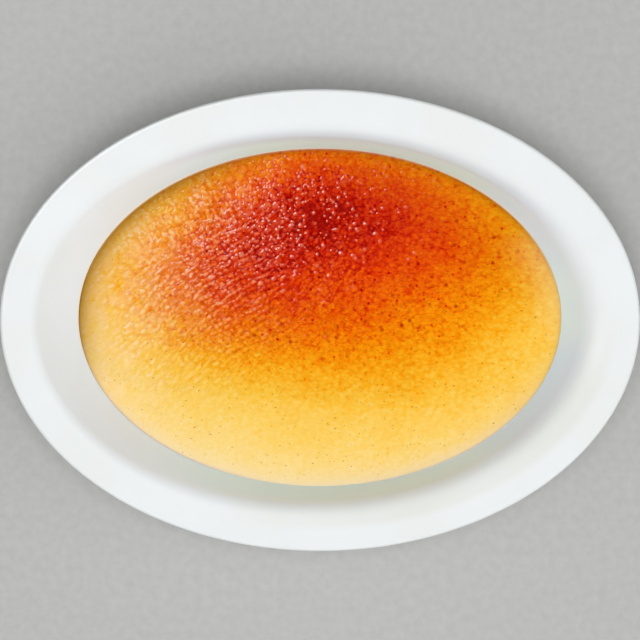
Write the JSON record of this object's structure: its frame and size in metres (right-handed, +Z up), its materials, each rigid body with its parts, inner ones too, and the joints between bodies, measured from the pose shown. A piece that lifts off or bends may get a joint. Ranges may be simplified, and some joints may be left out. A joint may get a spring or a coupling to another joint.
{
  "type": "creme brulee in an oval dish",
  "caption": "Baked vanilla custard with a torched caramel crust, in an oval white porcelain dish with a wide flat rim and a foot ring.",
  "frame": {"origin": "under the middle of the dish, on the surface that its foot ring stands on", "axes": "+X along the dish's length, +Y across it towards the darkest part of the crust, +Z up"},
  "size_m": [0.18, 0.1306, 0.032],
  "materials": {
    "porcelain": "gloss",
    "custard": "satin"
  },
  "bodies": {
    "root": {"dish": "porcelain", "custard": "custard"}
  },
  "joints": []
}
